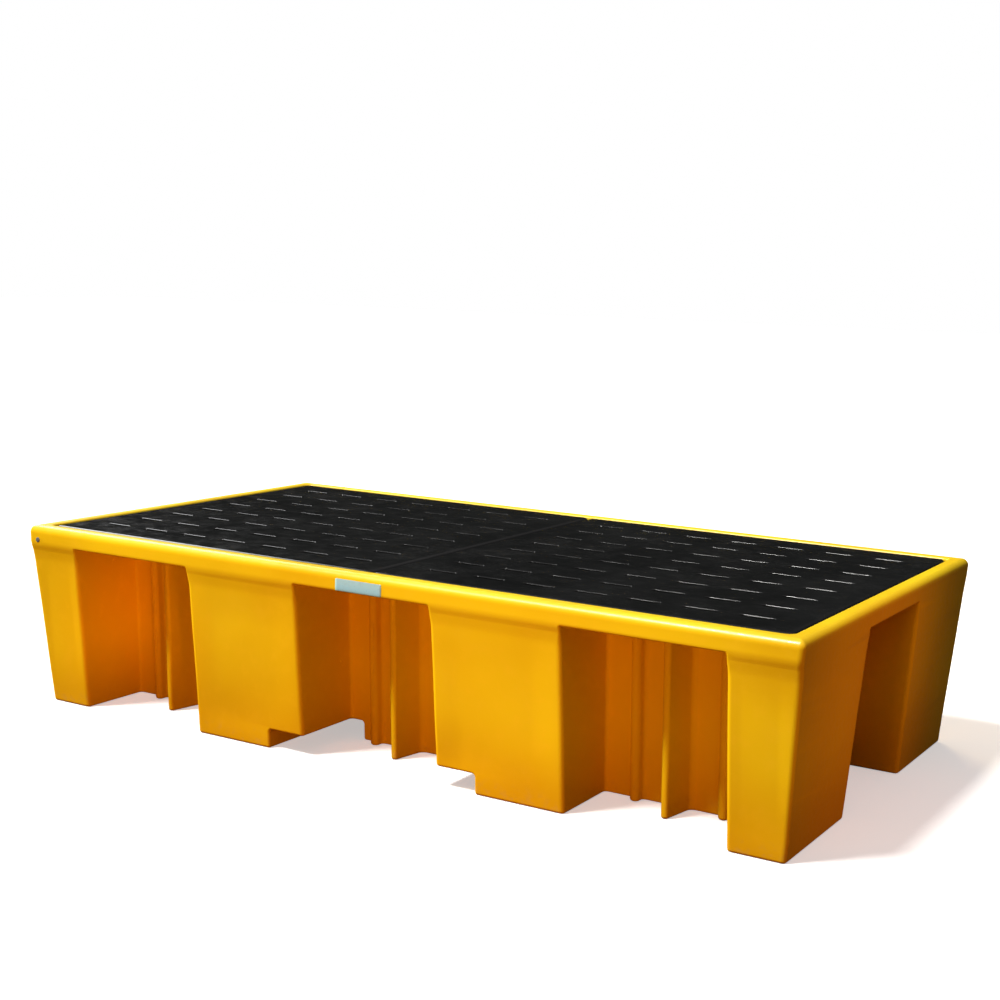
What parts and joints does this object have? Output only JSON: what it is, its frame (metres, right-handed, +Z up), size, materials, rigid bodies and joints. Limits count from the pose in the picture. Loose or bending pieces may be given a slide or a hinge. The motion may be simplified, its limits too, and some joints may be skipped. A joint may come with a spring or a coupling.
{
  "type": "spill containment pallet",
  "caption": "Twin spill containment pallet: a moulded sump on hollow legs, with fork channels through its base, under lift-out slotted deck panels.",
  "frame": {"origin": "centre of the footprint, on the ground", "axes": "+X along the length, +Y from the labelled front to the back, +Z up"},
  "size_m": [2.52, 1.3726, 0.56],
  "materials": {
    "sump_plastic": "satin rotationally moulded polyethylene, amber yellow",
    "deck_plastic": "glossy black polyethylene",
    "column_plastic": "matt black polyethylene",
    "label_film": "blank pale blue-white vinyl film",
    "plug_plastic": "grey moulded plastic"
  },
  "bodies": {
    "sump": {"sump": "sump_plastic", "support_column_1": "column_plastic", "support_column_2": "column_plastic", "support_column_3": "column_plastic", "support_column_4": "column_plastic", "support_column_5": "column_plastic", "support_column_6": "column_plastic", "blank_label": "label_film", "rim_plug": "plug_plastic"},
    "deck_left": {"deck_panel_left": "deck_plastic"},
    "deck_right": {"deck_panel_right": "deck_plastic"}
  },
  "joints": [
    {"name": "deck_left_lift", "type": "slide", "parent": "sump", "child": "deck_left", "axis": [0, 0, 1], "range_m": [0, 0.2]},
    {"name": "deck_right_lift", "type": "slide", "parent": "sump", "child": "deck_right", "axis": [0, 0, 1], "range_m": [0, 0.2]}
  ]
}
